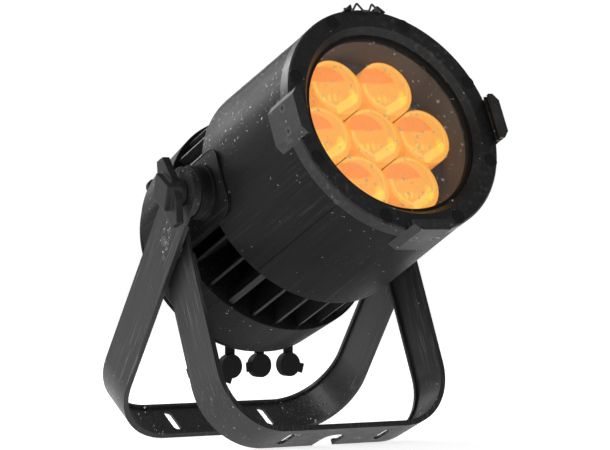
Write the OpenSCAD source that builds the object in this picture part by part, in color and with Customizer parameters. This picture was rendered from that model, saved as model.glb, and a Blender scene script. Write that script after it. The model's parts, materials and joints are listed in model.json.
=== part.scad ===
// Zoom par can light: a sealed seven-lens lamp head on a folding double yoke.
// The lamp tilts about X between the arms of the outer yoke. It faces -Y and stands on Z = 0.

/* [Lamp head] */
// Upward tilt of the beam from level
lamp_tilt = 25; // [0:1:40]
// Outer radius of the front bezel
bezel_r = 120; // [119:0.5:121]
// Front face of the bezel ahead of the tilt axis
bezel_z = 166.3; // [165:0.1:168]
// Rear edge of the front shell ahead of the tilt axis
shell_rear_z = 4; // [2:1:8]
// Radius of the front shell at its rear edge
shell_rear_r = 123; // [122:0.5:124]
// Front edge of the rear shell behind the tilt axis
case_front_z = 69; // [68:1:72]
// Number of gaps in half a turn between the open cooling fins
fin_gaps = 13.5; // [11.5:1:15.5]
// Thickness of one cooling fin
fin_t = 2.8; // [2:0.1:3.5]

/* [Optics] */
// Distance from one lens axis to the next
lens_pitch = 60; // [59.5:0.1:61]
// Radius of one zoom lens
lens_r = 29.6; // [28:0.1:29.6]
// Backward travel of the lens carriage
zoom_travel = 23; // [10:1:23]
// Clear radius of the window inside its gasket
window_r = 91.5; // [88:0.5:92]

/* [Yokes] */
// Half of the width over the outer yoke's arms
outer_half_w = 149; // [148:0.5:152]
// Half of the width over the inner yoke's arms
inner_half_w = 138; // [137:0.5:139]
// Length of the outer yoke, from the tilt axis to the outer face of its bar
outer_len = 287; // [280:1:300]
// Backward lean of the outer yoke
outer_lean = 34; // [32:1:36]
// Forward lean of the inner yoke
inner_lean = 23; // [20:1:25]
// Width of the yokes' flat bar
band_w = 50; // [48:1:52]
// Radius of the outer yoke's corners
outer_corner_r = 69; // [60:1:90]
// Radius of the inner yoke's corners
inner_corner_r = 66; // [60:1:90]
// Distance down the outer arm from the tilt axis to the fold hinge
hinge_drop = 57; // [56:1:62]
// Radius of the centre hole for a clamp bolt
clamp_hole_r = 6.5; // [5:0.5:7]

/* [Knobs] */
// Tip-to-tip length of a clamping knob
knob_len = 70; // [60:1:75]
// Angle of the knobs' wings from upright
knob_turn = 22; // [0:1:45]

/* [Rear panel] */
// Pitch of the four connectors across the rear panel
socket_pitch = 36.7; // [34:0.1:38]
// Travel of a panel button
button_travel = 1.5; // [1:0.1:1.8]

/* [Hidden] */
$fn = 96;
gap = 0.3;
run = 0.05;
pivot_y = 7.84;
plate_t = 3;
lip_t = 5.5;
lip_w = 3.5;
arm_end_t = 5;
lip_start = 24;
pivot_h = outer_len * cos(outer_lean) + band_w / 2 * sin(outer_lean);
hinge_y = hinge_drop * sin(outer_lean);
hinge_z = -hinge_drop * cos(outer_lean);
inner_len = (pivot_h + hinge_z - band_w / 2 * sin(inner_lean)) / cos(inner_lean);
fold_angle = outer_lean + inner_lean;
slot_x = 58.5;
slot_w = 8.5;
slot_len = 30;
notch_r = 12.5;
hinge_pin_r = 6;
stop_pin_r = 3;
stop_arc_r = 17;
stud_r = 5;
spacer_out = 140;
spacer_in = 128.3;
flange_in = 126.3;
spacer_r = 26.5;
flange_r = 28;
ear_r = 125.5;
ear_half_h = 35;
ear_front_z = 38;
ear_corner_r = 18;
shell_in_r = 115.5;
shell_front_z = 150;
shell_front_r = 119.5;
sink_r = 117;
sink_front_z = 56;
sink_base_t = 10;
fin_r = 116;
core_r = 32;
case_rear_z = 142.5;
case_front_r = 120;
case_rear_r = 116.5;
plug_circle_r = 112;
plug_r = 7.3;
glass_z = 150.5;
glass_t = 4;
lens_plate_z = 107;
lens_plate_t = 3;
lens_front_z = 131;
carriage_r = 79;
rod_r = 3;
zoom_rod_r = 2.5;
zoom_rod_z = 72;
zoom_rod_hole_r = 3.2;
motor_top_z = 80;
board_z = sink_front_z + 2.5;
bracket_h = 124;
bracket_front_z = 180;
bracket_screw_z = 158.3;
bracket_half_w = 17;
bracket_foot_w = 31;
bracket_wall_w = 24;
top_screw_z = 146;
screw_x = 12;
button_xs = [-33, -11, 11, 33];
case_flat_x = 114.8;
arm_rim_in = 140.6;
arm_rim_r = 21.5;
panel_z = 152;
socket_y = -62;
socket_depth = 12;
socket_z = 168;
cap_pin_r = 2;
cap_pin_y = -80.2;
cap_pin_z = -160;
cap_drop = 38;
cap_r = 12.5;
latch_y = 122.3;
latch_z = 161.5;
housing = [0.13, 0.13, 0.13];
black = [0.04, 0.04, 0.04];
metal = [0.62, 0.62, 0.64];

// Frames: the lamp's own +Z is the beam, the yokes' own -Z runs down their arms.
module lamp_at() {
    translate([0, pivot_y, pivot_h]) rotate([90 - lamp_tilt, 0, 0]) children();
}

module outer_at() {
    translate([0, pivot_y, pivot_h]) rotate([outer_lean, 0, 0]) children();
}

module inner_at() {
    translate([0, pivot_y + hinge_y, pivot_h + hinge_z]) rotate([-inner_lean, 0, 0]) children();
}

module on_both_sides() {
    children();
    mirror([1, 0, 0]) children();
}

// Cylinder along X between two distances from the middle, on the +X side.
module side_rod(r, x0, x1) {
    translate([x0, 0, 0]) rotate([0, 90, 0]) cylinder(r = r, h = x1 - x0);
}

module on_circle(r, angles) {
    for (a = angles) rotate(a) translate([r, 0, 0]) children();
}

// Flat outline of a U from its open top down to the bar.
module u_outline(half_w, len, r, top) {
    translate([-half_w, -(len - r)]) square([2 * half_w, len - r + top]);
    translate([-(half_w - r), -len]) square([2 * (half_w - r), r]);
    for (s = [-1, 1]) translate([s * (half_w - r), -(len - r)]) circle(r = r);
}

module u_band(half_w, len, r, t, width, top) {
    rotate([90, 0, 0]) linear_extrude(height = width, center = true) difference() {
        u_outline(half_w, len, r, top);
        u_outline(half_w - t, len - t, r - t, top + 1);
    }
}

module bar_slot(x) {
    linear_extrude(height = 20, center = true) translate([x, 0]) {
        square([slot_w, slot_len - slot_w], center = true);
        for (s = [-1, 1]) translate([0, s * (slot_len - slot_w) / 2]) circle(r = slot_w / 2);
    }
}

module yoke_body(half_w, len, r) {
    u_band(half_w, len, r, plate_t, band_w, 0);
    for (s = [-1, 1]) {
        translate([0, s * (band_w - lip_w) / 2, 0]) u_band(half_w, len, r, lip_t, lip_w, -lip_start);
    }
    on_both_sides() side_rod(band_w / 2, half_w - arm_end_t, half_w);
}

module outer_yoke() {
    color(housing) outer_at() difference() {
        union() {
            yoke_body(outer_half_w, outer_len, outer_corner_r);
            on_both_sides() difference() {
                side_rod(band_w / 2, arm_rim_in, outer_half_w);
                side_rod(arm_rim_r, arm_rim_in - 1, outer_half_w - arm_end_t);
            }
        }
        on_both_sides() {
            side_rod(stud_r + run, outer_half_w - 10, outer_half_w + 1);
            translate([0, 0, -hinge_drop]) side_rod(hinge_pin_r, outer_half_w - 10, outer_half_w + 1);
            stop_place() side_rod(stop_pin_r, outer_half_w - 10, outer_half_w + 1);
        }
        translate([0, 0, -outer_len]) {
            bar_slot(slot_x);
            bar_slot(-slot_x);
            cylinder(r = clamp_hole_r, h = 20, center = true);
        }
    }
}

// The stop pin stands straight below the fold hinge.
module stop_place() {
    translate([0, 0, -hinge_drop]) rotate([-outer_lean, 0, 0]) translate([0, 0, -stop_arc_r]) children();
}

// Curved slot that the stop pin runs in while the inner yoke folds.
module stop_slot() {
    half_w = stop_pin_r + gap;
    slack = asin(half_w / stop_arc_r) + 1;
    first = -90 + inner_lean + slack;
    last = -90 + inner_lean - fold_angle - slack;
    on_both_sides() translate([inner_half_w - 10, 0, 0]) rotate([90, 0, 90]) {
        linear_extrude(height = 20) intersection() {
            difference() {
                circle(r = stop_arc_r + half_w);
                circle(r = stop_arc_r - half_w);
            }
            polygon([[0, 0], [60 * cos(first), 60 * sin(first)], [0, -90], [60 * cos(last), 60 * sin(last)]]);
        }
    }
}

module inner_yoke() {
    color(housing) inner_at() difference() {
        yoke_body(inner_half_w, inner_len, inner_corner_r);
        on_both_sides() side_rod(hinge_pin_r + run, inner_half_w - 10, inner_half_w + 1);
        stop_slot();
        translate([0, 0, -inner_len]) {
            bar_slot(slot_x);
            bar_slot(-slot_x);
            linear_extrude(height = 20, center = true) translate([0, band_w / 8]) {
                circle(r = notch_r);
                translate([-notch_r, 0]) square([2 * notch_r, band_w]);
            }
        }
    }
}

module hinge_pins() {
    color(metal) outer_at() on_both_sides() translate([0, 0, -hinge_drop]) {
        side_rod(hinge_pin_r, inner_half_w - arm_end_t - gap, outer_half_w);
        side_rod(10, inner_half_w - arm_end_t - gap - 2.5, inner_half_w - arm_end_t - gap);
    }
}

module hinge_spacers() {
    color(black) outer_at() on_both_sides() translate([0, 0, -hinge_drop]) difference() {
        side_rod(11, inner_half_w + gap, outer_half_w - plate_t);
        side_rod(hinge_pin_r, inner_half_w, outer_half_w);
    }
}

module stop_pins() {
    color(metal) outer_at() on_both_sides() stop_place() {
        side_rod(stop_pin_r, inner_half_w - arm_end_t, outer_half_w);
    }
}

// Lamp head castings.
module ear_outline() {
    r = ear_corner_r;
    depth = ear_front_z + case_front_z - 0.5;
    translate([-ear_half_h, -case_front_z + 0.5]) square([2 * ear_half_h, depth - r]);
    translate([-ear_half_h + r, -case_front_z + 0.5]) square([2 * (ear_half_h - r), depth]);
    for (s = [-1, 1]) translate([s * (ear_half_h - r), ear_front_z - r]) circle(r = r);
}

module ears() {
    intersection() {
        translate([0, 0, -case_front_z]) cylinder(r = ear_r, h = 120);
        on_both_sides() translate([100, 0, 0]) rotate([90, 0, 90]) linear_extrude(height = 30) ear_outline();
    }
    on_both_sides() side_rod(flange_r - 0.5, 100, flange_in);
}

// Four lengthwise grooves along a casting that tapers from one radius to another.
module seam_lines(r0, z0, r1, z1) {
    for (a = [45:90:315]) rotate(a) translate([(r0 + r1) / 2, 0, (z0 + z1) / 2]) {
        rotate([0, atan((r1 - r0) / (z1 - z0)), 0]) cube([1.6, 1.2, z1 - z0 + 4], center = true);
    }
}

module front_shell() {
    color(housing) lamp_at() difference() {
        union() {
            rotate_extrude() polygon([[sink_r, shell_rear_z], [shell_rear_r - 0.8, shell_rear_z],
                [shell_rear_r, shell_rear_z + 1], [shell_front_r, shell_front_z],
                [103, shell_front_z], [103, shell_front_z - 6], [shell_in_r, shell_front_z - 6],
                [shell_in_r, sink_front_z], [sink_r, sink_front_z]]);
            difference() {
                ears();
                translate([0, 0, -200]) cylinder(r = sink_r, h = 400);
            }
        }
        on_both_sides() side_rod(stud_r, 90, 150);
        on_circle(plug_circle_r, [22.5:45:360]) translate([0, 0, 140]) cylinder(r = 2.6, h = 20);
        holder_screw_holes(top_screw_z);
        seam_lines(shell_rear_r, shell_rear_z, shell_front_r, shell_front_z);
    }
}

module holder_screw_holes(z) {
    for (s = [-1, 1]) translate([s * screw_x, 105, z]) rotate([-90, 0, 0]) cylinder(r = 2.1, h = 30);
}

module holder_screw_seats(z) {
    holder_screw_holes(z);
    for (s = [-1, 1]) translate([s * screw_x, bracket_h - 2.8, z]) rotate([-90, 0, 0]) {
        cylinder(r1 = 2.1, r2 = 4.9, h = 2.8);
    }
}

module front_bezel() {
    color(housing) lamp_at() difference() {
        rotate_extrude() polygon([[98, shell_front_z], [bezel_r - 1, shell_front_z],
            [bezel_r, shell_front_z + 1], [bezel_r, bezel_z - 1.6], [bezel_r - 1.6, bezel_z],
            [101, bezel_z], [95.5, bezel_z - 7], [95.5, glass_z + glass_t + 3],
            [98, glass_z + glass_t + 3]]);
        on_circle(plug_circle_r, [22.5:45:360]) {
            translate([0, 0, bezel_z - 9]) cylinder(r = plug_r + 0.1, h = 12);
            translate([0, 0, 140]) cylinder(r = 2.6, h = 20);
        }
        for (a = [90, 180, 270]) rotate(a) holder_screw_holes(bracket_screw_z);
    }
}

module bezel_screws() {
    color(metal) lamp_at() on_circle(plug_circle_r, [22.5:45:360]) {
        translate([0, 0, shell_front_z - 6]) cylinder(r = 2.5, h = bezel_z - shell_front_z - 3);
        translate([0, 0, bezel_z - 9]) difference() {
            cylinder(r = 4.5, h = 4);
            translate([0, 0, 2]) cylinder(r = 2, h = 3, $fn = 6);
        }
    }
}

module bezel_plugs() {
    color(black) lamp_at() on_circle(plug_circle_r, [22.5:45:360]) {
        translate([0, 0, bezel_z - 4.5]) cylinder(r = plug_r, h = 4.5);
        translate([0, 0, bezel_z]) cylinder(r1 = plug_r, r2 = plug_r - 0.5, h = 0.6);
    }
}

module ring(r_out, r_in, z0, z1) {
    translate([0, 0, z0]) difference() {
        cylinder(r = r_out, h = z1 - z0);
        translate([0, 0, -1]) cylinder(r = r_in, h = z1 - z0 + 2);
    }
}

module glass_gasket() {
    color(black) lamp_at() ring(97.5, window_r, glass_z + glass_t, glass_z + glass_t + 3);
}

module front_glass() {
    color("lightblue", 0.4) lamp_at() translate([0, 0, glass_z]) cylinder(r = 97.5, h = glass_t);
}

module inner_baffle() {
    color([0.25, 0.22, 0.2]) lamp_at() ring(94, 92, board_z, glass_z);
}

module heat_sink() {
    base_z = sink_front_z - sink_base_t;
    back_z = -case_front_z + 0.5;
    color(housing) lamp_at() {
        difference() {
            translate([0, 0, base_z]) cylinder(r = sink_r, h = sink_base_t);
            zoom_rod_holes(sink_front_z - 7.5, sink_front_z + 1);
        }
        translate([0, 0, back_z]) linear_extrude(height = base_z - back_z) {
            circle(r = core_r);
            for (half = [0, 180], k = [-5:5]) {
                w = abs(k) == 3 ? 2.2 * fin_t : fin_t;
                rotate(90 + half + k * 180 / fin_gaps) translate([core_r - 4, -w / 2]) {
                    square([fin_r - core_r + 4, w]);
                }
            }
        }
    }
}

// Lamp optics: emitters on the heat sink, zoom lenses on a sliding carriage.
module at_each_lens() {
    children();
    on_circle(lens_pitch, [0:60:300]) children();
}

module zoom_rod_holes(z0, z1) {
    on_circle(carriage_r, [150, 330]) translate([0, 0, z0]) cylinder(r = zoom_rod_hole_r, h = z1 - z0);
}

module led_board() {
    color(metal) lamp_at() difference() {
        translate([0, 0, sink_front_z]) cylinder(r = 88, h = board_z - sink_front_z);
        zoom_rod_holes(sink_front_z - 1, board_z + 1);
    }
}

module led_emitters() {
    color("gold") lamp_at() at_each_lens() translate([0, 0, board_z]) {
        translate([-8, -8, 0]) cube([16, 16, 1.5]);
        translate([0, 0, 1.5]) cylinder(r = 6, h = 1.5);
    }
}

module mixing_rods() {
    color("lightyellow", 0.6) lamp_at() at_each_lens() {
        translate([0, 0, board_z + 3]) cylinder(r = 6, h = 10, $fn = 6);
    }
}

module guide_rods() {
    color(metal) lamp_at() on_circle(carriage_r, [30, 210]) {
        translate([0, 0, board_z]) cylinder(r = rod_r, h = lens_plate_z + 1 - board_z);
    }
}

module zoom_motors() {
    color(metal) lamp_at() on_circle(carriage_r, [150, 330]) {
        ring(9, zoom_rod_r + run, board_z, motor_top_z - 2);
        ring(4, zoom_rod_r + run, motor_top_z - 2, motor_top_z);
    }
}

module lens_plate() {
    color(black) lamp_at() difference() {
        translate([0, 0, lens_plate_z]) cylinder(r = 91, h = lens_plate_t);
        at_each_lens() translate([0, 0, 90]) cylinder(r = 27.5, h = 40);
        on_circle(carriage_r, [30, 150, 210, 330]) translate([0, 0, 90]) cylinder(r = 5, h = 40);
    }
}

module carriage_bushes() {
    z0 = lens_plate_z - 2.2;
    color("goldenrod") lamp_at() {
        on_circle(carriage_r, [30, 210]) ring(5, rod_r + run, z0, lens_plate_z + lens_plate_t + 1);
        on_circle(carriage_r, [150, 330]) ring(5, zoom_rod_r, z0, lens_plate_z + lens_plate_t + 1);
    }
}

// Thick lenses: a short cone behind the plate, a barrel and a low dome in front.
module zoom_lenses() {
    seat_z = lens_plate_z + lens_plate_t;
    dome_r = 80;
    dome_base = lens_front_z - sqrt(dome_r * dome_r - lens_r * lens_r);
    color("orange") lamp_at() at_each_lens() {
        translate([0, 0, seat_z]) cylinder(r = lens_r, h = lens_front_z - seat_z);
        intersection() {
            translate([0, 0, dome_base]) sphere(r = dome_r);
            translate([0, 0, seat_z + 1]) cylinder(r = lens_r, h = 40);
        }
        translate([0, 0, seat_z - 11]) cylinder(r1 = 15, r2 = 26.5, h = 11);
    }
}

// The motors push and pull these rods, which do not turn.
module zoom_rods() {
    color(metal) lamp_at() on_circle(carriage_r, [150, 330]) translate([0, 0, zoom_rod_z]) {
        cylinder(r = zoom_rod_r, h = lens_plate_z + lens_plate_t + 1.5 - zoom_rod_z);
    }
}

// Rear case with the electronics and the panel.
module rear_shell() {
    color(housing) lamp_at() difference() {
        rotate_extrude() polygon([[0, -case_front_z], [case_front_r - 0.6, -case_front_z],
            [case_front_r, -case_front_z - 0.8], [case_rear_r, -134], [110.5, -case_rear_z],
            [106, -case_rear_z],
            [112.5, -132], [112.5, -case_front_z - 4], [0, -case_front_z - 4]]);
        seam_lines(case_rear_r, -134, case_front_r, -case_front_z);
        on_both_sides() translate([case_flat_x, -60, -case_rear_z - 1]) cube([20, 120, 90]);
    }
}

module rear_gasket() {
    color(black) lamp_at() ring(109, 106.2, -case_rear_z - 2, -case_rear_z);
}

module rear_cover() {
    front = -case_rear_z - 2;
    color(housing) lamp_at() difference() {
        union() {
            rotate_extrude() polygon([[0, front], [110.5, front], [110.5, front - 3],
                [106, -panel_z], [0, -panel_z]]);
            on_circle(108, [45:90:315]) translate([0, 0, front - 5]) cylinder(r = 9, h = 5);
        }
        on_circle(101, [22.5:45:360]) translate([0, 0, -panel_z - 1]) cylinder(r = 2.1, h = 20);
        on_circle(110, [45:90:315]) translate([0, 0, -panel_z - 1]) cylinder(r = 2.1, h = 20);
        for (x = button_xs) translate([x, 8, -panel_z - 1]) cylinder(r = 5 + run, h = 6);
    }
}

module rear_cover_screws() {
    head = 2.4;
    color(metal) lamp_at() {
        on_circle(101, [22.5:45:360]) translate([0, 0, -panel_z - head]) {
            cylinder(r = 4, h = head);
            cylinder(r = 2, h = head + 7);
        }
        on_circle(110, [45:90:315]) translate([0, 0, -case_rear_z - 7 - head]) {
            cylinder(r = 4, h = head);
            cylinder(r = 2, h = head + 4.5);
        }
    }
}

module rounded_plate(w, h, r, z0, z1) {
    translate([0, 0, z0]) linear_extrude(height = z1 - z0) {
        square([w, h - 2 * r], center = true);
        square([w - 2 * r, h], center = true);
        for (sx = [-1, 1], sy = [-1, 1]) translate([sx * (w / 2 - r), sy * (h / 2 - r)]) circle(r = r);
    }
}

module control_panel() {
    color(black) lamp_at() difference() {
        translate([0, 27, 0]) rounded_plate(96, 66, 6, -panel_z - 3, -panel_z);
        translate([0, 38, -panel_z - 4]) rounded_plate(66, 26, 2, 0, 2.4);
        for (x = button_xs) translate([x, 8, -panel_z - 4]) cylinder(r = 5 + run, h = 6);
    }
}

module display_window() {
    color([0.2, 0.3, 0.35]) lamp_at() translate([0, 38, 0]) {
        rounded_plate(65.8, 25.8, 1.9, -panel_z - 2.6, -panel_z - 1.6);
    }
}

module panel_button(x) {
    color(metal) lamp_at() translate([x, 8, -panel_z - 5]) {
        cylinder(r = 5, h = 6);
    }
}

module menu_button() {
    panel_button(button_xs[3]);
}

module up_button() {
    panel_button(button_xs[2]);
}

module down_button() {
    panel_button(button_xs[1]);
}

module enter_button() {
    panel_button(button_xs[0]);
}

// Chassis connector with a flange, a round socket and the pin that its cap hangs on.
module connector(x, r) {
    lug_w = 3;
    color(black) lamp_at() translate([x, 0, 0]) {
        translate([0, socket_y, 0]) difference() {
            union() {
                rounded_plate(2 * r + 3, 2 * r + 3, 3, -panel_z - 2.5, -panel_z);
                translate([0, 0, -socket_z]) cylinder(r = r, h = socket_z - panel_z);
            }
            translate([0, 0, -socket_z - 1]) cylinder(r = r - 2.7, h = socket_depth + 1);
        }
        for (s = [-1, 1]) translate([s * 8 - lug_w / 2, cap_pin_y - 3, cap_pin_z - 3]) {
            cube([lug_w, 8, -cap_pin_z - panel_z + 3]);
        }
        translate([-8, cap_pin_y, cap_pin_z]) rotate([0, 90, 0]) cylinder(r = cap_pin_r, h = 16);
    }
}

module power_inlet() {
    connector(-1.5 * socket_pitch, 13.2);
}

module power_outlet() {
    connector(-0.5 * socket_pitch, 13.2);
}

module data_inlet() {
    connector(0.5 * socket_pitch, 11.8);
}

module data_outlet() {
    connector(1.5 * socket_pitch, 11.8);
}

// Rubber cap hanging straight down from its connector's pin, its cup facing back.
module socket_cap(x, tab_angle) {
    pin_y = -cap_pin_z * cos(lamp_tilt) + cap_pin_y * sin(lamp_tilt);
    pin_z = cap_pin_z * sin(lamp_tilt) + cap_pin_y * cos(lamp_tilt);
    color(black) translate([x, pivot_y + pin_y, pivot_h + pin_z]) difference() {
        union() {
            translate([-5.5, 0, 0]) rotate([0, 90, 0]) cylinder(r = 4, h = 11);
            translate([-5.5, -1.1, -cap_drop + cap_r - 3]) cube([11, 2.2, cap_drop - cap_r + 3]);
            translate([0, 4.5, -cap_drop]) rotate([90, 0, 0]) {
                cylinder(r = cap_r, h = 9);
                rotate(tab_angle) translate([0, -5, 5.8]) cube([cap_r + 5, 10, 2.4]);
            }
        }
        translate([-9, 0, 0]) rotate([0, 90, 0]) cylinder(r = cap_pin_r + run, h = 18);
        translate([0, 5, -cap_drop]) rotate([90, 0, 0]) cylinder(r = cap_r - 2, h = 6.5);
    }
}

module power_inlet_cap() {
    socket_cap(-1.5 * socket_pitch, 200);
}

module power_outlet_cap() {
    socket_cap(-0.5 * socket_pitch, 250);
}

module data_inlet_cap() {
    socket_cap(0.5 * socket_pitch, 185);
}

module data_outlet_cap() {
    socket_cap(1.5 * socket_pitch, -15);
}

module vent_valve() {
    color(metal) lamp_at() translate([72, 20, -panel_z - 5]) {
        cylinder(r = 7.5, h = 5, $fn = 6);
        translate([0, 0, -1.5]) cylinder(r = 5.5, h = 2);
    }
}

// Drilled lug for a safety cable.
module safety_lug() {
    color(metal) lamp_at() difference() {
        translate([-2.5, 0, 0]) {
            translate([0, 84, -panel_z - 15]) rotate([0, 90, 0]) cylinder(r = 13, h = 5);
            translate([0, 71, -panel_z - 15]) cube([5, 26, 15]);
            translate([-7.5, 71, -panel_z - 3]) cube([20, 26, 3]);
        }
        translate([-5, 84, -panel_z - 15]) rotate([0, 90, 0]) cylinder(r = 7, h = 10);
    }
}

module power_supply() {
    color(metal) lamp_at() translate([-62, -42, -122]) cube([124, 84, 46]);
}

module driver_board() {
    color("darkgreen") lamp_at() {
        translate([-75, -55, -136]) cube([150, 110, 1.6]);
        for (x = [-50, -10, 35]) translate([x, -20, -134.4]) cube([20, 26, 8]);
    }
}

// Accessory holders round the bezel: a flat-topped bracket with two slots and a front lip.
module holder_wall_outline() {
    low = bracket_h - 6;
    polygon([[-bracket_half_w, bracket_h], [bracket_half_w, bracket_h], [bracket_wall_w, low],
        [bracket_wall_w - 2, low - 2.4], [bracket_half_w - 1.2, bracket_h - 3],
        [1.2 - bracket_half_w, bracket_h - 3], [2 - bracket_wall_w, low - 2.4], [-bracket_wall_w, low]]);
}

module holder_lip_outline() {
    low = bracket_h - 11;
    polygon([[-bracket_half_w, bracket_h], [bracket_half_w, bracket_h], [bracket_wall_w, bracket_h - 6],
        [bracket_wall_w, low], [-bracket_wall_w, low], [-bracket_wall_w, bracket_h - 6]]);
}

// Outline of a foot that stands on the round bezel.
module holder_foot_outline() {
    polygon([[-bracket_half_w, bracket_h], [bracket_half_w, bracket_h],
        [bracket_foot_w, bracket_h - 12], [-bracket_foot_w, bracket_h - 12]]);
}

module holder_foot(z0, z1) {
    difference() {
        translate([0, 0, z0]) linear_extrude(height = z1 - z0) holder_foot_outline();
        translate([0, 0, z0 - 1]) cylinder(r = bezel_r + run, h = z1 - z0 + 2, $fn = 360);
        holder_screw_seats(bracket_screw_z);
    }
}

module holder(angle) {
    color(housing) lamp_at() rotate(angle) {
        holder_foot(134, bezel_z);
        translate([0, 0, bezel_z]) linear_extrude(height = bracket_front_z - bezel_z) holder_wall_outline();
        translate([0, 0, bracket_front_z - 3.4]) linear_extrude(height = 3.4) holder_lip_outline();
        translate([0, 0, bracket_front_z - 9]) linear_extrude(height = 2.2) holder_lip_outline();
    }
}

module holder_left() {
    holder(90);
}

module holder_right() {
    holder(-90);
}

module holder_bottom() {
    holder(180);
}

// The top holder has no front lip: two end blocks carry the gate's wire between them.
module holder_top() {
    block_x = 15.5;
    color(housing) lamp_at() difference() {
        union() {
            translate([0, 0, 134]) linear_extrude(height = 22) holder_foot_outline();
            on_both_sides() translate([0, 0, 150]) linear_extrude(height = bezel_z - 148.8) {
                intersection() {
                    holder_foot_outline();
                    translate([block_x, 0]) square(200);
                }
            }
        }
        translate([0, 0, 130]) cylinder(r = bezel_r + 0.1, h = 50, $fn = 360);
        holder_screw_seats(top_screw_z);
        translate([-21, latch_y, latch_z]) rotate([0, 90, 0]) cylinder(r = 1.25 + run, h = 42);
    }
}

module holder_screws() {
    color(metal) lamp_at() for (a = [0:90:270]) rotate(a) for (s = [-1, 1]) {
        z = a == 0 ? top_screw_z : bracket_screw_z;
        translate([s * screw_x, 113, z]) rotate([-90, 0, 0]) difference() {
            union() {
                cylinder(r = 2, h = 9);
                translate([0, 0, 8.3]) cylinder(r1 = 2, r2 = 4.7, h = 2.6);
            }
            translate([0, 0, 10]) for (q = [0, 90]) rotate(q) cube([5, 0.9, 2], center = true);
        }
    }
}

// Sprung wire gate that keeps an accessory in the holders.
module latch_clip() {
    pts = [[-16.5, -6.3], [-9, 3.2], [-3.5, -5.3], [3.5, -5.3], [9, 3.2], [16.5, -6.3]];
    front = bezel_z + 0.9 - latch_z;
    color(metal) lamp_at() translate([0, latch_y, latch_z]) {
        translate([0, 0, front]) linear_extrude(height = 4) {
            for (i = [0:4]) {
                d = pts[i + 1] - pts[i];
                translate(pts[i]) rotate(atan2(d[1], d[0])) translate([0, -1]) square([norm(d), 2]);
            }
            for (q = pts) translate(q) circle(r = 1.1);
        }
        for (s = [-1, 1]) translate([s * 10.5 - 1, -1, -1.2]) cube([2, 2, front + 2]);
        translate([-20.5, 0, 0]) rotate([0, 90, 0]) cylinder(r = 1.25, h = 41);
    }
}

// Tilt joint: stud, spacer and washer on the lamp, knob outside the arm.
module friction_washers() {
    color(black) lamp_at() on_both_sides() difference() {
        side_rod(20, spacer_out, outer_half_w - arm_end_t - gap);
        side_rod(stud_r, spacer_out - 1, outer_half_w);
    }
}

module tilt_spacers() {
    color(housing) lamp_at() on_both_sides() difference() {
        union() {
            side_rod(spacer_r, spacer_in, spacer_out);
            side_rod(flange_r, flange_in, spacer_in);
        }
        side_rod(stud_r, flange_in - 1, spacer_out + 1);
    }
}

module tilt_studs() {
    color(metal) lamp_at() on_both_sides() side_rod(stud_r, 102, outer_half_w + 13);
}

// Two-winged clamping knob on the +X side, wings along its own Z.
module knob() {
    foot = outer_half_w + 0.4;
    half = knob_len / 2;
    difference() {
        union() {
            side_rod(14, foot, foot + 8);
            translate([foot + 6.6, 0, 0]) rotate([90, 0, 90]) linear_extrude(height = 9.6) {
                polygon([[-6.5, half], [6.5, half], [13, 12], [13, -12], [6.5, -half], [-6.5, -half],
                    [-13, -12], [-13, 12]]);
            }
            translate([foot + 5, 0, 0]) rotate([90, 0, 90]) linear_extrude(height = 18.5) {
                polygon([[0, 20.4], [15, 0], [0, -20.4], [-15, 0]]);
            }
        }
        side_rod(stud_r + run, foot - 1, outer_half_w + 14);
    }
}

module knob_at() {
    translate([0, pivot_y, pivot_h]) rotate([-knob_turn, 0, 0]) children();
}

module knob_left() {
    color(black) knob_at() mirror([1, 0, 0]) knob();
}

module knob_right() {
    color(black) knob_at() knob();
}

outer_yoke();
inner_yoke();
hinge_pins();
hinge_spacers();
stop_pins();
front_shell();
front_bezel();
bezel_screws();
bezel_plugs();
glass_gasket();
front_glass();
inner_baffle();
heat_sink();
led_board();
led_emitters();
mixing_rods();
guide_rods();
zoom_motors();
lens_plate();
zoom_lenses();
carriage_bushes();
zoom_rods();
rear_shell();
rear_gasket();
rear_cover();
rear_cover_screws();
control_panel();
display_window();
menu_button();
up_button();
down_button();
enter_button();
power_inlet();
power_outlet();
data_inlet();
data_outlet();
power_inlet_cap();
power_outlet_cap();
data_inlet_cap();
data_outlet_cap();
vent_valve();
safety_lug();
power_supply();
driver_board();
holder_left();
holder_right();
holder_bottom();
holder_top();
holder_screws();
latch_clip();
friction_washers();
tilt_spacers();
tilt_studs();
knob_left();
knob_right();
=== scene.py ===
"""Looks of the par can light: coats, lit lenses, wet beads, soft studio light."""
import bmesh
import bpy
import json
import math
import random
from mathutils import Matrix, Vector


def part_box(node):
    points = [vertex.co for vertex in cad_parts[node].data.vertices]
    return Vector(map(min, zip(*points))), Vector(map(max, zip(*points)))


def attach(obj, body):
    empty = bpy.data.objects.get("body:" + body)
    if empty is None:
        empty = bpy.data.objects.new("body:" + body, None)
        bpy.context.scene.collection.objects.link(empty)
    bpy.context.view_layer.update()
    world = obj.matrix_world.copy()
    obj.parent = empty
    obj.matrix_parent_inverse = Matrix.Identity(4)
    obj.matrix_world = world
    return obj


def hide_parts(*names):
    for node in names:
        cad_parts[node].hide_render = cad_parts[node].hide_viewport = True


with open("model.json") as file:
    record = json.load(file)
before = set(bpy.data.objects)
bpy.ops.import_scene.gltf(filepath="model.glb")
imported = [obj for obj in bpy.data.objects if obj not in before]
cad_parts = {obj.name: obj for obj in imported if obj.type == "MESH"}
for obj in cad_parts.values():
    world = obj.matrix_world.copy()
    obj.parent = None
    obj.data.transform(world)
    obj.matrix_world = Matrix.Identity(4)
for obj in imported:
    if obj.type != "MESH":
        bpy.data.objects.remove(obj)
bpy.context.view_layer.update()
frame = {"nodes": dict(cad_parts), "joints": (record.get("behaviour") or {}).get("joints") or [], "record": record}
scene = bpy.context.scene

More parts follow.
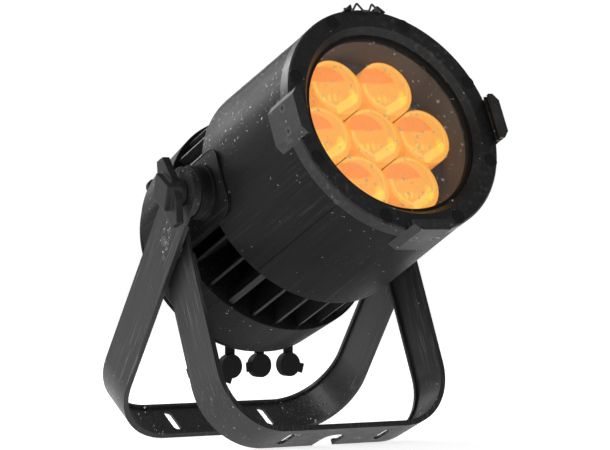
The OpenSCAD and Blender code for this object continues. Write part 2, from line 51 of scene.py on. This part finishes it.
MM = 0.001
NODES = frame["nodes"]
RECORD = frame["record"]
BODY_OF = {n: b for b, names in RECORD["behaviour"]["bodies"].items() for n in names}
SLOT_OF = {part["node"]: part["material_slot"] for part in RECORD["subparts"]}
X = Vector((1, 0, 0))


# Frames: the lamp's own +Z is the beam, a yoke's own -Z runs down its arms.
def joint(name):
    return next(j for j in frame["joints"] if j["name"] == name)


def axes_at(origin, z):
    """Axes at a point: X stays the world's, Z is the given direction."""
    axes = Matrix((X, z.cross(X), z)).transposed().to_4x4()
    axes.translation = origin
    return axes


PIVOT = Vector(joint("lamp_tilt")["pos_m"])
HINGE = Vector(joint("yoke_fold")["pos_m"])
BEAM = Vector(joint("zoom")["axis"]).normalized()
DOWN = (HINGE - PIVOT).normalized()
INNER_LEAN = math.radians(23)  # from upright, as in the CAD
LAMP = axes_at(PIVOT, BEAM)
OUTER = axes_at(PIVOT, -DOWN)
INNER = axes_at(HINGE, Vector((0, math.sin(INNER_LEAN), math.cos(INNER_LEAN))))


def reach_along_beam(node):
    """How far a node reaches forward of the tilt axis, in mm."""
    local = LAMP.inverted()
    return max((local @ v.co).z / MM for v in NODES[node].data.vertices)


BEZEL_FRONT = reach_along_beam("front_bezel")
PLATE_FRONT = reach_along_beam("lens_plate")
LENS_FRONT = reach_along_beam("zoom_lenses")


# Materials.
def linear(r, g, b):
    """Linear colour of an 8-bit sRGB colour."""
    levels = [((c / 255 + 0.055) / 1.055) ** 2.4 if c > 10 else c / 255 / 12.92 for c in (r, g, b)]
    return (*levels, 1)


def grey(v, warm=0.0):
    return (v * (1 + warm), v, v * (1 - warm), 1)


class Shader:
    """A principled material with short calls for the nodes that feed it."""

    def __init__(self, name, rough=0.5, metal=0.0, spec=0.5, coat=0.0, turn=None):
        self.mat = bpy.data.materials.new(name)
        self.mat.use_nodes = True
        self.tree = self.mat.node_tree
        self.bsdf = self.tree.nodes["Principled BSDF"]
        self.set("Roughness", rough)
        self.set("Metallic", metal)
        self.set("Specular IOR Level", spec)
        self.set("Coat Weight", coat)
        self.set("Coat Roughness", 0.18)
        self.place = self.tree.nodes.new("ShaderNodeTexCoord").outputs["Object"]
        if turn is not None:
            self.place = self.mapping(rotation=turn.to_3x3().inverted().to_euler())

    def set(self, socket, value):
        self.bsdf.inputs[socket].default_value = value

    def link(self, out, socket):
        self.tree.links.new(out, socket)

    def mapping(self, scale=(1, 1, 1), rotation=(0, 0, 0), location=(0, 0, 0)):
        node = self.tree.nodes.new("ShaderNodeMapping")
        node.inputs["Scale"].default_value = scale
        node.inputs["Rotation"].default_value = rotation
        node.inputs["Location"].default_value = location
        self.link(self.place, node.inputs["Vector"])
        return node.outputs["Vector"]

    def noise(self, scale, detail=5, rough=0.6, distortion=0.0):
        node = self.tree.nodes.new("ShaderNodeTexNoise")
        node.inputs["Scale"].default_value = 1
        node.inputs["Detail"].default_value = detail
        node.inputs["Roughness"].default_value = rough
        node.inputs["Distortion"].default_value = distortion
        self.link(self.mapping(scale), node.inputs["Vector"])
        return node.outputs["Fac"]

    def span(self, value, lo, hi, a, b):
        """a where value is lo or less, b where it is hi or more, and a straight blend between."""
        node = self.tree.nodes.new("ShaderNodeMapRange")
        for socket, v in zip(("From Min", "From Max", "To Min", "To Max"), (lo, hi, a, b)):
            node.inputs[socket].default_value = v
        self.link(value, node.inputs["Value"])
        return node.outputs["Result"]

    def math(self, kind, a, b):
        node = self.tree.nodes.new("ShaderNodeMath")
        node.operation = kind
        for socket, v in zip(node.inputs, (a, b)):
            if isinstance(v, (int, float)):
                socket.default_value = v
            else:
                self.link(v, socket)
        return node.outputs[0]

    def mix(self, factor, a, b):
        node = self.tree.nodes.new("ShaderNodeMix")
        node.data_type = "RGBA"
        self.link(factor, node.inputs["Factor"])
        colour_a, colour_b, result = node.inputs[6], node.inputs[7], node.outputs[2]
        for socket, v in ((colour_a, a), (colour_b, b)):
            if isinstance(v, tuple):
                socket.default_value = v
            else:
                self.link(v, socket)
        return result

    def bump(self, height, distance, strength):
        """Adds to any bump the material already has."""
        node = self.tree.nodes.new("ShaderNodeBump")
        node.inputs["Strength"].default_value = strength
        node.inputs["Distance"].default_value = distance
        self.link(height, node.inputs["Height"])
        if self.bsdf.inputs["Normal"].is_linked:
            self.link(self.bsdf.inputs["Normal"].links[0].from_socket, node.inputs["Normal"])
        self.link(node.outputs["Normal"], self.bsdf.inputs["Normal"])

    def colour(self, out):
        self.link(out, self.bsdf.inputs["Base Color"])

    def roughness(self, out):
        self.link(out, self.bsdf.inputs["Roughness"])


def wet_beads(s):
    """Beads too small for geometry, raised in patches."""
    cells_per_m, patches_per_m, height = 210, 28, 0.0016
    cells = s.tree.nodes.new("ShaderNodeTexVoronoi")
    cells.inputs["Scale"].default_value = 1
    s.link(s.mapping((cells_per_m,) * 3), cells.inputs["Vector"])
    wet_patch = s.span(s.noise((patches_per_m,) * 3, 3, 0.6), 0.42, 0.62, 0.06, 0.34)
    dome = s.math("SUBTRACT", wet_patch, cells.outputs["Distance"])
    s.bump(s.math("MAXIMUM", dome, 0.0), height, 0.8)


def coat(name, level, turn, streak=(70, 70, 3), spec=0.2, wet=0.1, rough=(0.34, 0.56),
         chalk_level=3.0, beads=True):
    """Satin black powder coat, rain-wet, streaked along the part's own length."""
    s = Shader(name, spec=spec, coat=wet, turn=turn)
    runs = s.noise(streak, 6, 0.7)
    fine = s.noise([4 * v for v in streak], 4, 0.6)
    cloud = s.noise((14, 14, 9), 3, 0.5)
    dark, light, chalk = grey(0.75 * level), grey(1.3 * level), grey(chalk_level * level)
    skin = s.mix(s.span(s.math("ADD", runs, fine), 0.75, 1.3, 0, 1), dark, light)
    dried = s.math("MULTIPLY", s.span(fine, 0.56, 0.66, 0, 1), s.span(cloud, 0.45, 0.62, 0, 1))
    s.colour(s.mix(dried, skin, chalk))
    s.roughness(s.span(s.math("ADD", runs, cloud), 0.7, 1.3, rough[0], rough[1]))
    s.bump(s.noise((900, 900, 900), 2, 0.5), 0.00006, 0.5)
    s.bump(s.noise([1.5 * v for v in streak], 3, 0.5), 0.0001, 0.25)
    if beads:
        wet_beads(s)
    return s.mat


def speckled(name, dark, light, rough, grain=500, depth=0.00008, metal=0.0, spec=0.5, wet=0.0):
    """Moulded or brushed stuff with a fine grain in colour, roughness and height."""
    s = Shader(name, metal=metal, spec=spec, coat=wet)
    grains = s.noise((grain, grain, grain), 3, 0.6)
    cloud = s.noise((30, 30, 30), 3, 0.5)
    s.colour(s.mix(s.span(s.math("ADD", grains, cloud), 0.7, 1.3, 0, 1), dark, light))
    s.roughness(s.span(cloud, 0.3, 0.7, rough - 0.07, rough + 0.09))
    s.bump(grains, depth, 0.5)
    return s.mat


def glass_material():
    s = Shader("clear_glass", rough=0.03, spec=0.5)
    s.set("Alpha", 0.05)
    smear = s.noise((16, 16, 16), 4, 0.6)
    s.colour(s.mix(s.span(smear, 0.35, 0.7, 0, 1), (0.3, 0.3, 0.3, 1), (0.6, 0.6, 0.6, 1)))
    return s.mat


def water_material():
    """Clear beads: their middle shows what is under them; their rim is a painted highlight, pale grey and more
    opaque.
    """
    s = Shader("water", rough=0.04, spec=0.8)
    edge = s.tree.nodes.new("ShaderNodeLayerWeight")
    edge.inputs["Blend"].default_value = 0.35
    # Painted highlight: the clear beads get a pale grey colour that grows more opaque toward the rim, in place of
    # glints on the water.
    s.link(s.span(edge.outputs["Facing"], 0.15, 0.75, 0.10, 0.65), s.bsdf.inputs["Alpha"])
    s.colour(s.mix(s.span(s.noise((400, 400, 400), 2, 0.5), 0.3, 0.7, 0, 1), grey(0.55), grey(0.9)))
    return s.mat


def lens_material():
    """Lit amber lens. Its UV runs from -1 to 1 over each lens, up in V."""
    s = Shader("lit_lens", rough=0.12, spec=0.5, coat=0.6)
    uv = s.tree.nodes.new("ShaderNodeUVMap")
    uv.uv_map = "lens"
    s.place = uv.outputs["UV"]

    def reach(cx, cy, sx=1.0, sy=1.0):
        length = s.tree.nodes.new("ShaderNodeVectorMath")
        length.operation = "LENGTH"
        s.link(s.mapping((sx, sy, 0), location=(-cx * sx, -cy * sy, 0)), length.inputs[0])
        return length.outputs["Value"]

    split = s.tree.nodes.new("ShaderNodeSeparateXYZ")
    s.link(s.place, split.inputs[0])
    u, v = split.outputs["X"], split.outputs["Y"]

    def near(value, middle, half, soft=0.02):
        """1 where value is within half of middle, 0 outside, with a soft edge."""
        return s.span(s.math("ABSOLUTE", s.math("SUBTRACT", value, middle), 0), half, half + soft, 1, 0)

    def both(a, b):
        return s.math("MULTIPLY", a, b)

    amber, deep, pale = linear(255, 170, 76), linear(255, 148, 68), linear(255, 184, 78)
    gold, bright = linear(255, 204, 86), linear(255, 238, 70)
    ripple = s.noise((5, 5, 1), 3, 0.5, 0.6)
    glow = s.mix(s.span(ripple, 0.35, 0.75, 0, 0.6), amber, pale)
    # Rim band round the dome, then the pale line at its inner edge.
    from_dome = reach(-0.06, 0.05)
    glow = s.mix(s.span(from_dome, 0.80, 0.82, 0, 1), glow, linear(255, 176, 70))
    glow = s.mix(near(from_dome, 0.84, 0.03), glow, linear(255, 196, 94))
    # The far wall of the optic shows deeper orange over the upper left of the dome.
    off_brow = s.math("ABSOLUTE", s.math("ADD", u, 0.3), 0)
    brow = s.math("ADD", 0.06, s.math("MULTIPLY", off_brow, 0.16))
    above_brow = s.span(s.math("SUBTRACT", v, brow), 0, 0.03, 0, 1)
    upper = both(s.span(reach(-0.47, -0.03), 0.75, 0.78, 1, 0), above_brow)
    glow = s.mix(upper, glow, deep)
    rays = both(upper, s.span(s.noise((3, 16, 1), 2, 0.5), 0.5, 0.6, 0, 0.35))
    glow = s.mix(rays, glow, linear(255, 160, 78))
    # Arcs of the mixing rod at the left, and the bright window and its row of teeth below.
    for radius, share in ((0.52, 0.5), (0.66, 0.35)):
        arc = both(near(reach(-0.95, -0.1), radius, 0.02), s.span(v, -0.3, 0.02, 1, 0))
        glow = s.mix(both(arc, share), glow, pale)
    slant = s.math("SUBTRACT", v, s.math("MULTIPLY", u, 0.52))
    glow = s.mix(both(near(slant, -0.72, 0.15), near(u, 0.18, 0.45)), glow, gold)
    teeth = s.span(s.math("PINGPONG", u, 0.10), 0.045, 0.06, 0, 1)
    patchy = both(near(u, -0.42, 0.32), s.span(ripple, 0.3, 0.5, 0.3, 1))
    glow = s.mix(both(both(near(v, -0.47, 0.09), teeth), patchy), glow, gold)
    # Bright specks at the lower right, then the darker edge of the lens.
    specks = s.span(s.noise((22, 9, 1), 2, 0.6), 0.5, 0.56, 0, 1)
    lower_right = s.span(reach(0.46, -0.40, 1.3, 1), 0.2, 0.3, 1, 0)
    glow = s.mix(both(specks, lower_right), glow, bright)
    glow = s.mix(s.span(reach(0, 0), 0.985, 0.998, 0, 0.8), glow, linear(250, 150, 60))
    s.colour(s.mix(s.span(ripple, 0.3, 0.7, 0, 1), (0.02, 0.008, 0.001, 1), (0.04, 0.015, 0.002, 1)))
    s.link(glow, s.bsdf.inputs["Emission Color"])
    s.set("Emission Strength", 1.06)
    return s.mat


MATERIALS = {
    "housing_coat": coat("housing_coat", 0.0075, LAMP, spec=0.08, wet=0.03, rough=(0.42, 0.62)),
    "fin_coat": coat("fin_coat", 0.014, LAMP, wet=0.05, beads=False),
    "bezel_coat": coat("bezel_coat", 0.013, LAMP, streak=(45, 45, 45), rough=(0.34, 0.5)),
    "holder_coat": coat("holder_coat", 0.018, LAMP, streak=(60, 60, 20), spec=0.3),
    "outer_yoke_coat": coat("outer_yoke_coat", 0.018, OUTER, streak=(120, 120, 5), wet=0.12, chalk_level=5.0),
    "inner_yoke_coat": coat("inner_yoke_coat", 0.018, INNER, streak=(120, 120, 5), wet=0.12, chalk_level=5.0),
    "steel": speckled("steel", grey(0.32), grey(0.5), 0.32, 900, metal=1.0),
    "dark_steel": speckled("dark_steel", grey(0.03), grey(0.07), 0.35, 900, metal=0.4),
    "black_plastic": speckled("black_plastic", grey(0.008), grey(0.018), 0.5, 700, spec=0.3),
    "socket_plastic": speckled("socket_plastic", grey(0.008), grey(0.018), 0.5, 900),
    "black_rubber": speckled("black_rubber", grey(0.005), grey(0.010), 0.65, 1100, 0.0001, spec=0.15),
    "front_glass": glass_material(),
    "water": water_material(),
    "baffle": speckled("baffle", grey(0.030, 0.12), grey(0.060, 0.12), 0.6, 500),
    "board": speckled("board", grey(0.5), grey(0.62), 0.5, 300),
    "emitter": speckled("emitter", (0.8, 0.5, 0.1, 1), (1, 0.7, 0.25, 1), 0.25, 200),
    "clear_optic": speckled("clear_optic", (0.9, 0.6, 0.25, 1), (1, 0.75, 0.4, 1), 0.1, 200),
    "amber_lens": lens_material(),
    "brass": speckled("brass", (0.55, 0.4, 0.15, 1), (0.75, 0.58, 0.25, 1), 0.35, 600, metal=1.0),
    "display": speckled("display", (0.008, 0.014, 0.018, 1), (0.014, 0.022, 0.028, 1), 0.12, 100, 0.00001),
    "button": speckled("button", grey(0.16), grey(0.24), 0.5, 900),
    "supply_case": speckled("supply_case", grey(0.4), grey(0.55), 0.4, 500, metal=0.8),
}
# A node has the look of its slot, but for these.
LOOK_OF = dict(SLOT_OF, outer_yoke="outer_yoke_coat", inner_yoke="inner_yoke_coat",
               tilt_spacers="housing_coat", bezel_plugs="black_rubber")
for name in ("holder_screws", "hinge_pins", "stop_pins", "latch_clip"):
    LOOK_OF[name] = "dark_steel"


# Pieces.
SHARP = math.radians(28)
FLAT = math.radians(0.6)


def add_piece(name, mesh, body, look):
    piece = bpy.data.objects.new(name, mesh)
    scene.collection.objects.link(piece)
    mesh.materials.clear()
    mesh.materials.append(MATERIALS[look])
    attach(piece, body)
    return piece


def apply_modifiers(piece):
    bpy.context.view_layer.update()
    graph = bpy.context.evaluated_depsgraph_get()
    mesh = bpy.data.meshes.new_from_object(piece.evaluated_get(graph))
    piece.modifiers.clear()
    old = piece.data
    piece.data = mesh
    bpy.data.meshes.remove(old)


def round_edges(piece, width):
    bevel = piece.modifiers.new("edges", "BEVEL")
    bevel.width = width
    bevel.segments = 2
    bevel.limit_method = "ANGLE"
    bevel.angle_limit = SHARP
    bevel.use_clamp_overlap = True
    piece.data.shade_smooth()
    weights = piece.modifiers.new("normals", "WEIGHTED_NORMAL")
    weights.keep_sharp = True
    apply_modifiers(piece)


def cast_copy(node, width):
    """A copy of a CAD node with rounded edges stands for it."""
    mesh = NODES[node].data.copy()
    bm = bmesh.new()
    bm.from_mesh(mesh)
    bmesh.ops.remove_doubles(bm, verts=bm.verts, dist=0.001 * MM)
    bmesh.ops.dissolve_limit(bm, angle_limit=FLAT, verts=bm.verts, edges=bm.edges)
    bm.to_mesh(mesh)
    bm.free()
    piece = add_piece(node + "_finish", mesh, BODY_OF[node], LOOK_OF[node])
    round_edges(piece, width)
    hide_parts(node)
    return piece


def prism(bm, outline, z0, z1):
    """Closed prism of a 2D outline."""
    low = [bm.verts.new((x, y, z0)) for x, y in outline]
    high = [bm.verts.new((x, y, z1)) for x, y in outline]
    bm.faces.new(low[::-1])
    bm.faces.new(high)
    for i in range(len(outline)):
        j = (i + 1) % len(outline)
        bm.faces.new((low[i], low[j], high[j], high[i]))


def circle_points(r, count, cx=0.0, cy=0.0):
    return [(cx + r * math.cos(t * math.tau / count), cy + r * math.sin(t * math.tau / count))
            for t in range(count)]


def mesh_from(bm, name, matrix):
    """Finishes a mesh drawn in mm in a part's own frame."""
    bmesh.ops.recalc_face_normals(bm, faces=bm.faces)
    bmesh.ops.scale(bm, vec=(MM, MM, MM), verts=bm.verts)
    bmesh.ops.transform(bm, matrix=matrix, verts=bm.verts)
    mesh = bpy.data.meshes.new(name)
    bm.to_mesh(mesh)
    bm.free()
    return mesh


def knob_piece(side, sign):
    """Two-winged clamping knob, moulded with soft edges."""
    turn = math.radians(22)
    hub_r, hub_depth = 14, 8
    tip_half, root_half, shoulder, length_half = 6, 12.5, 12, 35.0
    wing_back, wing_front = 7.5, 16
    ridge_long, ridge_wide, ridge_back = 20.4, 15, 5
    node = "knob_" + side
    lo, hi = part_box(node)
    foot, face = sorted(abs(x) / MM for x in (lo.x, hi.x))
    bm = bmesh.new()
    prism(bm, circle_points(hub_r, 48), foot, foot + hub_depth)
    edge = [(tip_half, length_half), (root_half, shoulder), (root_half, -shoulder), (tip_half, -length_half)]
    wing = [(-tip_half, length_half)] + edge + [(-x, y) for x, y in edge[:0:-1]]
    prism(bm, wing, foot + wing_back, foot + wing_front)
    ridge = [(0, ridge_long), (ridge_wide, 0), (0, -ridge_long), (-ridge_wide, 0)]
    prism(bm, ridge, foot + ridge_back, face)
    outward = Matrix(((0, 0, sign, 0), (sign, 0, 0, 0), (0, 1, 0, 0), (0, 0, 0, 1)))
    place = Matrix.Translation(PIVOT) @ (Matrix.Rotation(-turn, 4, "X") @ outward)
    mesh = mesh_from(bm, node, place)
    piece = add_piece(node + "_moulding", mesh, node, "black_plastic")
    remesh = piece.modifiers.new("skin", "REMESH")
    remesh.mode = "VOXEL"
    remesh.voxel_size = 0.7 * MM
    soft = piece.modifiers.new("soft", "SMOOTH")
    soft.factor = 0.5
    soft.iterations = 5
    apply_modifiers(piece)
    piece.data.shade_smooth()
    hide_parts(node)


def lens_cluster():
    """Seven domed lenses with a stepped rim, each with its own UV."""
    pitch, radius, dome = 60.0, 29.6, 80.0
    count, steps = 72, 14
    back = PLATE_FRONT
    seat = LENS_FRONT - (dome - math.sqrt(dome ** 2 - radius ** 2))
    bm = bmesh.new()
    layer = bm.loops.layers.uv.new("lens")
    centres = [(0.0, 0.0)] + circle_points(pitch, 6)
    profile = [(radius, back), (radius, seat - 1.2), (radius - 0.35, seat - 0.35), (radius - 1.2, seat),
               (radius - 3.2, seat + 0.2)]
    inner = radius - 3.6
    rise = math.sqrt(dome ** 2 - inner ** 2)
    for k in range(1, steps):
        r = inner * (1 - k / steps)
        profile.append((r, seat + 0.4 + math.sqrt(dome ** 2 - r ** 2) - rise))
    top = seat + 0.4 + dome - rise
    for cx, cy in centres:
        rings = []
        for r, z in profile:
            rings.append([bm.verts.new((cx + x, cy + y, z)) for x, y in circle_points(r, count)])
        tip = bm.verts.new((cx, cy, top))
        base = bm.verts.new((cx, cy, back))
        faces = []
        for a, b in zip(rings, rings[1:]):
            faces += [bm.faces.new((a[i], a[(i + 1) % count], b[(i + 1) % count], b[i]))
                      for i in range(count)]
        last, first = rings[-1], rings[0]
        faces += [bm.faces.new((last[i], last[(i + 1) % count], tip)) for i in range(count)]
        faces += [bm.faces.new((first[(i + 1) % count], first[i], base)) for i in range(count)]
        for face in faces:
            face.smooth = True
            for loop in face.loops:
                loop[layer].uv = ((loop.vert.co.x - cx) / radius, (loop.vert.co.y - cy) / radius)
    mesh = mesh_from(bm, "zoom_lenses_lit", LAMP)
    piece = add_piece("zoom_lenses_lit", mesh, "carriage", "amber_lens")
    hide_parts("zoom_lenses")


def wire(name, runs, radius, body, look):
    """Round wire through points given in mm in the lamp's own frame."""
    curve = bpy.data.curves.new(name, "CURVE")
    curve.dimensions = "3D"
    curve.bevel_depth = radius * MM
    curve.bevel_resolution = 3
    curve.use_fill_caps = True
    for points in runs:
        spline = curve.splines.new("POLY")
        spline.points.add(len(points) - 1)
        for target, p in zip(spline.points, points):
            target.co = (LAMP @ (Vector(p) * MM)).to_4d()
    temp = bpy.data.objects.new(name, curve)
    scene.collection.objects.link(temp)
    bpy.context.view_layer.update()
    mesh = bpy.data.meshes.new_from_object(temp.evaluated_get(bpy.context.evaluated_depsgraph_get()))
    bpy.data.objects.remove(temp)
    mesh.shade_smooth()
    return add_piece(name, mesh, body, look)


def rounded_path(points, reach=1.6, steps=5):
    """The same path with each inner corner turned into a short arc."""
    out = [Vector(points[0])]
    for before, here, after in zip(points, points[1:], points[2:]):
        here = Vector(here)
        a = here + (Vector(before) - here).normalized() * reach
        b = here + (Vector(after) - here).normalized() * reach
        out += [a.lerp(here, t / steps).lerp(here.lerp(b, t / steps), t / steps) for t in range(steps + 1)]
    return out + [Vector(points[-1])]


def latch_wire():
    """M-shaped sprung gate, from its pivot over the bezel's front and back."""
    radius, clear = 1.1, 2.2
    pivot = LAMP.inverted() @ Vector(joint("latch_lift")["pos_m"]) / MM
    front = BEZEL_FRONT + clear - pivot.z
    half = [(-20.5, 0, 0), (-17.2, 0, 0), (-16.8, -6.0, front), (-9, 3.0, front), (-3.5, -5.2, front)]
    path = half + [(-x, y, z) for x, y, z in half[::-1]]
    points = [Vector(p) + pivot for p in path]
    piece = wire("latch_wire", [rounded_path(points)], radius, "latch", "dark_steel")
    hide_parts("latch_clip")


def ear_rims():
    """Thin raised rim round the front of each ear on the front shell."""
    radius, half_h, front, corner, back, skin, steps = 0.8, 35.0, 38.0, 18.0, -60.0, 125.2, 12
    arc = []
    for t in range(steps + 1):
        a = math.radians(90 * t / steps)
        arc.append((half_h - corner + corner * math.cos(a), front - corner + corner * math.sin(a)))
    side = [(half_h, back)] + arc
    outline = side + [(-y, z) for y, z in side[::-1]]
    runs = [[(sign * math.sqrt(skin ** 2 - y ** 2), y, z) for y, z in outline] for sign in (-1, 1)]
    wire("ear_rims", runs, radius, "lamp", "housing_coat")


def droplets(name, pieces, body, count, seed, size, keep):
    """Beads of water on the faces that keep accepts: seeded, thrown evenly over their area."""
    smallest_face = 0.2 * MM ** 2
    levels = ((-0.15, 1.0), (0.35, 0.92), (0.75, 0.62))  # height and width, as shares of the bead's
    around = circle_points(1, 8)
    rng = random.Random(seed)
    spots, weights = [], []
    for piece in pieces:
        for face in piece.data.polygons:
            if face.area > smallest_face and keep(face.center, face.normal):
                spots.append((piece.data, face))
                weights.append(face.area)
    bm = bmesh.new()
    for mesh, face in rng.choices(spots, weights, k=count):
        corners = [mesh.vertices[v].co for v in face.vertices]
        k = rng.randrange(1, len(corners) - 1)
        a, b = sorted((rng.random(), rng.random()))
        spot = corners[0] * a + corners[k] * (b - a) + corners[k + 1] * (1 - b)
        r = size * (0.35 + 0.9 * rng.random() ** 3)
        flat = rng.uniform(0.45, 0.7)
        side = face.normal.orthogonal().normalized()
        other = face.normal.cross(side)
        spin = rng.uniform(0, math.tau)
        cos, sin = math.cos(spin), math.sin(spin)
        side, other = side * cos + other * sin, other * cos - side * sin
        long_r = r * rng.uniform(1.0, 1.35)
        rim = [side * (long_r * x) + other * (r * y) for x, y in around]
        rings = []
        for level, share in levels:
            rings.append([bm.verts.new(spot + share * p + face.normal * (level * flat * r)) for p in rim])
        tip = bm.verts.new(spot + face.normal * (flat * r))
        for low, high in zip(rings, rings[1:]):
            for i in range(len(around)):
                j = (i + 1) % len(around)
                bm.faces.new((low[i], low[j], high[j], high[i]))
        last = rings[-1]
        for i in range(len(around)):
            bm.faces.new((last[i], last[(i + 1) % len(around)], tip))
        bm.faces.new(rings[0][::-1])
    mesh = bpy.data.meshes.new(name)
    bm.to_mesh(mesh)
    bm.free()
    mesh.shade_smooth()
    add_piece(name, mesh, body, "water")


# Every CAD node has its look, whether or not a piece stands for it.
for name, node in NODES.items():
    node.data.materials.clear()
    node.data.materials.append(MATERIALS[LOOK_OF[name]])

castings = {}
# Nodes whose edges show: each is replaced by a copy with its edges rounded this wide, in mm.
for name, width in (
        ("outer_yoke", 0.9), ("inner_yoke", 0.9), ("front_shell", 0.5), ("front_bezel", 0.8),
        ("rear_shell", 0.6), ("rear_cover", 0.5), ("holder_left", 0.5), ("holder_right", 0.5),
        ("holder_bottom", 0.5), ("holder_top", 0.5), ("tilt_spacers", 0.6), ("friction_washers", 0.4),
        ("bezel_plugs", 0.25), ("glass_gasket", 0.5), ("hinge_pins", 0.6), ("stop_pins", 0.4),
        ("control_panel", 0.5), ("safety_lug", 0.6), ("vent_valve", 0.4), ("hinge_spacers", 0.3),
        ("power_inlet", 0.4), ("power_outlet", 0.4), ("data_inlet", 0.4), ("data_outlet", 0.4),
        ("power_inlet_cap", 0.7), ("power_outlet_cap", 0.7), ("data_inlet_cap", 0.7),
        ("data_outlet_cap", 0.7), ("menu_button", 0.4), ("up_button", 0.4), ("down_button", 0.4),
        ("enter_button", 0.4)):
    castings[name] = cast_copy(name, width * MM)
knob_piece("left", -1)
knob_piece("right", 1)
lens_cluster()
latch_wire()
ear_rims()


# Which faces carry beads.
def outside_lamp(centre, normal):
    """The outward skin of the lamp head."""
    local = LAMP.inverted() @ centre
    radial = Vector((local.x, local.y, 0)).normalized()
    return (LAMP.to_3x3() @ radial).dot(normal) > 0.7


def faces_out_of(middle):
    """The faces that look away from a point."""
    return lambda centre, normal: normal.dot(centre - middle) > 0


def front_face(centre, normal):
    return normal.dot(BEAM) > 0.9


def upper_skin(centre, normal):
    return outside_lamp(centre, normal) and normal.z > 0.15


def front_or_skin(centre, normal):
    return front_face(centre, normal) or outside_lamp(centre, normal)


def any_face(centre, normal):
    return True


def not_sideways(centre, normal):
    return abs(normal.x) < 0.9


droplets("beads_shell_top", [castings["front_shell"]], "lamp", 1000, 3, 1.15 * MM, upper_skin)
droplets("beads_shell", [castings["front_shell"]], "lamp", 230, 4, 0.8 * MM, outside_lamp)
droplets("beads_holders", [castings[n] for n in ("holder_left", "holder_right", "holder_bottom")],
         "lamp", 70, 5, 0.9 * MM, any_face)
droplets("beads_bezel", [castings["front_bezel"]], "lamp", 160, 7, 0.9 * MM, front_or_skin)
droplets("beads_glass", [NODES["front_glass"]], "lamp", 230, 9, 1.5 * MM, front_face)
droplets("beads_rear", [castings["rear_shell"]], "lamp", 120, 11, 1.0 * MM, outside_lamp)
droplets("beads_outer_yoke", [castings["outer_yoke"]], "outer_yoke", 420, 13, 1.0 * MM,
         faces_out_of(PIVOT.lerp(HINGE, 2.0)))
droplets("beads_inner_yoke", [castings["inner_yoke"]], "inner_yoke", 300, 15, 1.0 * MM, not_sideways)


# Stage, camera and light, in metres.
UP = Vector((0, 0, 1))
VIEW = Vector((0.5729, 0.8197, 0.0015))
RIGHT = VIEW.cross(UP).normalized()
CAMERA_AT = Vector((-1.5759, -2.2458, 0.2160))
FOCAL_MM, SENSOR_MM = 160.9, 36
LIT_POINT = Vector((0, 0, 0.22))
FLOOR_REACH = 30


def floor():
    bm = bmesh.new()
    bmesh.ops.create_grid(bm, x_segments=8, y_segments=8, size=FLOOR_REACH)
    mesh = bpy.data.meshes.new("floor")
    bm.to_mesh(mesh)
    bm.free()
    piece = bpy.data.objects.new("floor", mesh)
    scene.collection.objects.link(piece)
    s = Shader("pale_floor", rough=0.9, spec=0.1)
    s.colour(s.mix(s.noise((3, 3, 3), 3, 0.5), (0.86, 0.86, 0.86, 1), (0.9, 0.9, 0.9, 1)))
    s.set("Emission Color", (1, 1, 1, 1))
    s.set("Emission Strength", 0.75)
    mesh.materials.append(s.mat)


def camera():
    data = bpy.data.cameras.new("camera")
    data.lens = FOCAL_MM
    data.sensor_width = SENSOR_MM
    data.clip_end = 100
    piece = bpy.data.objects.new("camera", data)
    scene.collection.objects.link(piece)
    piece.location = CAMERA_AT
    piece.rotation_euler = VIEW.to_track_quat("-Z", "Y").to_euler()
    scene.camera = piece


def area_light(name, right, up, toward, size, watts):
    """Soft light placed round the object as seen from the camera, aimed at its middle."""
    data = bpy.data.lights.new(name, "AREA")
    data.shape = "DISK"
    data.size = size
    data.energy = watts
    piece = bpy.data.objects.new(name, data)
    scene.collection.objects.link(piece)
    piece.location = LIT_POINT + RIGHT * right + UP * up - VIEW.normalized() * toward
    piece.rotation_euler = (LIT_POINT - piece.location).to_track_quat("-Z", "Y").to_euler()


def sky():
    """White at the horizon, dimmer above, so the coat keeps its blacks."""
    world = bpy.data.worlds.new("world")
    scene.world = world
    world.use_nodes = True
    tree = world.node_tree
    split = tree.nodes.new("ShaderNodeSeparateXYZ")
    coords = tree.nodes.new("ShaderNodeTexCoord")
    tree.links.new(coords.outputs["Generated"], split.inputs[0])
    tree.nodes["Background"].inputs["Color"].default_value = (1, 1, 1, 1)
    fade = tree.nodes.new("ShaderNodeMapRange")
    fade.inputs["From Min"].default_value = 0.10
    fade.inputs["From Max"].default_value = 0.40
    fade.inputs["To Min"].default_value = 1.02
    fade.inputs["To Max"].default_value = 0.22
    tree.links.new(split.outputs["Z"], fade.inputs["Value"])
    tree.links.new(fade.outputs["Result"], tree.nodes["Background"].inputs["Strength"])


floor()
camera()
sky()
area_light("key", right=-1.4, up=2.0, toward=-0.3, size=1.1, watts=22)
area_light("left", right=-2.2, up=0.3, toward=0.9, size=0.9, watts=9)
area_light("rim", right=-1.3, up=0.9, toward=-1.3, size=0.8, watts=12)
area_light("front", right=-0.3, up=0.9, toward=2.0, size=1.0, watts=5)
scene.view_settings.view_transform = "Standard"
